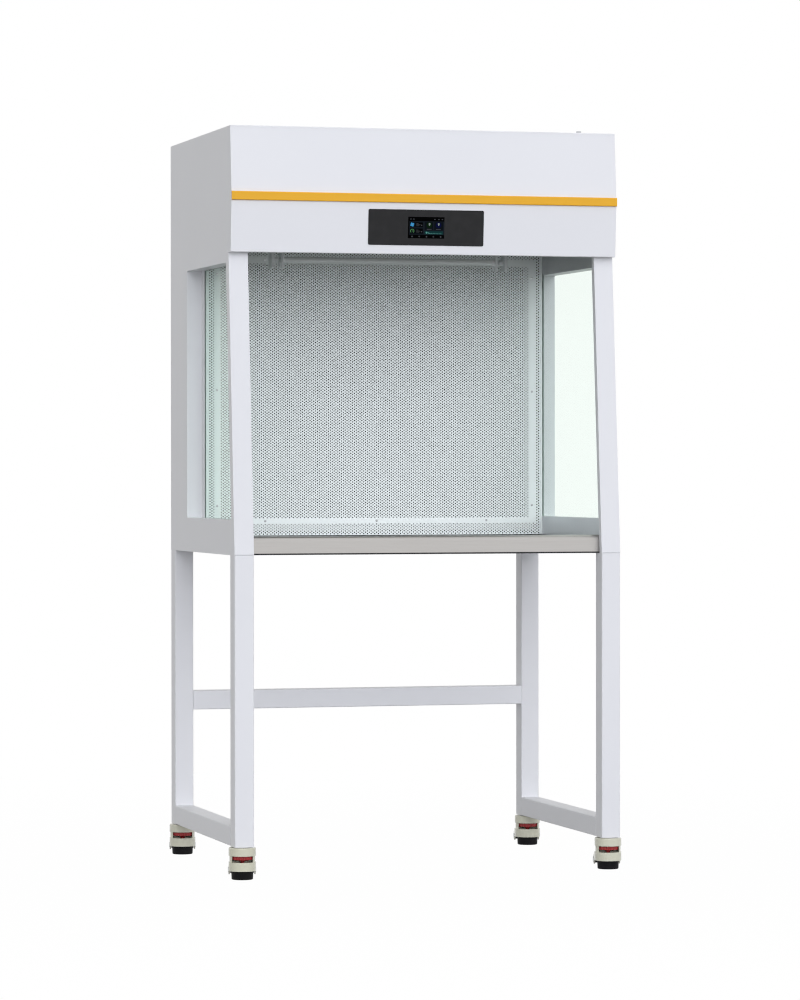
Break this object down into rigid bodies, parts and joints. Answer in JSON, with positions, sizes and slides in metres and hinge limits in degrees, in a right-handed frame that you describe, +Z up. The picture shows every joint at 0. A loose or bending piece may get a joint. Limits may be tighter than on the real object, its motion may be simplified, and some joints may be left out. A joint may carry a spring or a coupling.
{
  "type": "laminar flow hood",
  "caption": "Free-standing clean bench with a horizontal flow filter behind a perforated wall, glazed sides, a steel worktop and a stand on levelling casters.",
  "frame": {"origin": "on the floor, midway between the four legs", "axes": "+X to the right as the user faces the opening, +Y towards the rear, +Z up"},
  "size_m": [1.0471, 0.7772, 1.904],
  "materials": {
    "white_paint": "fine textured powder coat, pale cool white",
    "grey_frame_paint": "powder coated square tube",
    "steel": "brushed stainless steel",
    "diffuser_paint": "pale perforated sheet",
    "amber_trim": "satin amber extrusion",
    "dark_panel": "dark grey satin plastic",
    "screen_glass": "glossy display",
    "green_board": "solder mask",
    "clear_glass": "clear float glass with a faint green tint",
    "filter_box": "plain aluminium",
    "filter_paper": "pleated glass fibre paper",
    "gasket_foam": "black closed cell foam",
    "coarse_mat": "white synthetic mat",
    "galvanised": "galvanised sheet",
    "motor_paint": "dark cast housing",
    "lamp_glass": "opal lamp tube",
    "holder_plastic": "white moulded holder",
    "black_plastic": "black moulded plastic",
    "bright_steel": "bright zinc plated steel",
    "ivory_cast": "ivory painted casting",
    "red_plastic": "red moulded plastic",
    "wheel_nylon": "black nylon",
    "pad_rubber": "black rubber"
  },
  "bodies": {
    "cabinet": {"front_post_left": "white_paint", "front_post_right": "white_paint", "side_panel_left": "white_paint", "side_panel_right": "white_paint", "cabinet_floor": "white_paint", "front_fascia": "white_paint", "top_cover": "white_paint", "rear_cover": "white_paint", "ceiling_deck": "white_paint", "prefilter_frame": "white_paint", "leg_front_left": "grey_frame_paint", "leg_front_right": "grey_frame_paint", "leg_rear_left": "grey_frame_paint", "leg_rear_right": "grey_frame_paint", "side_rail_left": "grey_frame_paint", "side_rail_right": "grey_frame_paint", "rear_crossbar": "grey_frame_paint", "side_glass_left": "clear_glass", "side_glass_right": "clear_glass", "worktop": "steel", "fascia_stripe": "amber_trim", "top_knob": "bright_steel", "cover_screws": "bright_steel", "mains_inlet": "black_plastic", "control_panel": "dark_panel", "touch_screen": "screen_glass", "control_board": "green_board", "diffuser": "diffuser_paint", "diffuser_screws": "bright_steel", "filter_frame": "filter_box", "filter_gasket": "gasket_foam", "filter_media": "filter_paper", "prefilter_pad": "coarse_mat", "blower_housing": "galvanised", "blower_motor": "motor_paint", "lamp_tube": "lamp_glass", "lamp_holders": "holder_plastic", "caster_stems": "bright_steel"},
    "rotor": {"impeller": "galvanised", "motor_shaft": "bright_steel"},
    "caster_fl": {"caster_housing_fl": "ivory_cast", "caster_axle_fl": "bright_steel"},
    "wheel_fl": {"caster_wheel_fl": "wheel_nylon"},
    "pad_fl": {"foot_pad_fl": "pad_rubber"},
    "adjuster_fl": {"caster_adjuster_fl": "red_plastic"},
    "caster_fr": {"caster_housing_fr": "ivory_cast", "caster_axle_fr": "bright_steel"},
    "wheel_fr": {"caster_wheel_fr": "wheel_nylon"},
    "pad_fr": {"foot_pad_fr": "pad_rubber"},
    "adjuster_fr": {"caster_adjuster_fr": "red_plastic"},
    "caster_rl": {"caster_housing_rl": "ivory_cast", "caster_axle_rl": "bright_steel"},
    "wheel_rl": {"caster_wheel_rl": "wheel_nylon"},
    "pad_rl": {"foot_pad_rl": "pad_rubber"},
    "adjuster_rl": {"caster_adjuster_rl": "red_plastic"},
    "caster_rr": {"caster_housing_rr": "ivory_cast", "caster_axle_rr": "bright_steel"},
    "wheel_rr": {"caster_wheel_rr": "wheel_nylon"},
    "pad_rr": {"foot_pad_rr": "pad_rubber"},
    "adjuster_rr": {"caster_adjuster_rr": "red_plastic"}
  },
  "joints": [
    {"name": "impeller_spin", "type": "hinge", "parent": "cabinet", "child": "rotor", "pos_m": [0, 0.215, 1.745], "axis": [1, 0, 0], "continuous": true},
    {"name": "swivel_fl", "type": "hinge", "parent": "cabinet", "child": "caster_fl", "pos_m": [-0.485, -0.345, 0.078], "axis": [0, 0, 1], "continuous": true},
    {"name": "roll_fl", "type": "hinge", "parent": "caster_fl", "child": "wheel_fl", "pos_m": [-0.47856, -0.31468, 0.0215], "axis": [0.9781, -0.2079, 0], "continuous": true},
    {"name": "pad_travel_fl", "type": "slide", "parent": "caster_fl", "child": "pad_fl", "axis": [0, 0, -1], "range_m": [-0.002, 0.006]},
    {"name": "adjuster_turn_fl", "type": "hinge", "parent": "pad_fl", "child": "adjuster_fl", "pos_m": [-0.485, -0.345, 0.055], "axis": [0, 0, -1], "range_deg": [-361, 1081]},
    {"name": "swivel_fr", "type": "hinge", "parent": "cabinet", "child": "caster_fr", "pos_m": [0.485, -0.345, 0.078], "axis": [0, 0, 1], "continuous": true},
    {"name": "roll_fr", "type": "hinge", "parent": "caster_fr", "child": "wheel_fr", "pos_m": [0.49145, -0.31468, 0.0215], "axis": [0.9781, -0.2079, 0], "continuous": true},
    {"name": "pad_travel_fr", "type": "slide", "parent": "caster_fr", "child": "pad_fr", "axis": [0, 0, -1], "range_m": [-0.002, 0.006]},
    {"name": "adjuster_turn_fr", "type": "hinge", "parent": "pad_fr", "child": "adjuster_fr", "pos_m": [0.485, -0.345, 0.055], "axis": [0, 0, -1], "range_deg": [-361, 1081]},
    {"name": "swivel_rl", "type": "hinge", "parent": "cabinet", "child": "caster_rl", "pos_m": [-0.485, 0.345, 0.078], "axis": [0, 0, 1], "continuous": true},
    {"name": "roll_rl", "type": "hinge", "parent": "caster_rl", "child": "wheel_rl", "pos_m": [-0.47856, 0.37532, 0.0215], "axis": [0.9781, -0.2079, 0], "continuous": true},
    {"name": "pad_travel_rl", "type": "slide", "parent": "caster_rl", "child": "pad_rl", "axis": [0, 0, -1], "range_m": [-0.002, 0.006]},
    {"name": "adjuster_turn_rl", "type": "hinge", "parent": "pad_rl", "child": "adjuster_rl", "pos_m": [-0.485, 0.345, 0.055], "axis": [0, 0, -1], "range_deg": [-361, 1081]},
    {"name": "swivel_rr", "type": "hinge", "parent": "cabinet", "child": "caster_rr", "pos_m": [0.485, 0.345, 0.078], "axis": [0, 0, 1], "continuous": true},
    {"name": "roll_rr", "type": "hinge", "parent": "caster_rr", "child": "wheel_rr", "pos_m": [0.49145, 0.37532, 0.0215], "axis": [0.9781, -0.2079, 0], "continuous": true},
    {"name": "pad_travel_rr", "type": "slide", "parent": "caster_rr", "child": "pad_rr", "axis": [0, 0, -1], "range_m": [-0.002, 0.006]},
    {"name": "adjuster_turn_rr", "type": "hinge", "parent": "pad_rr", "child": "adjuster_rr", "pos_m": [0.485, 0.345, 0.055], "axis": [0, 0, -1], "range_deg": [-361, 1081]}
  ],
  "couplings": [
    {"joint": "adjuster_turn_fl", "follows": "pad_travel_fl", "rad_per_m": 3141.6},
    {"joint": "adjuster_turn_fr", "follows": "pad_travel_fr", "rad_per_m": 3141.6},
    {"joint": "adjuster_turn_rl", "follows": "pad_travel_rl", "rad_per_m": 3141.6},
    {"joint": "adjuster_turn_rr", "follows": "pad_travel_rr", "rad_per_m": 3141.6}
  ]
}
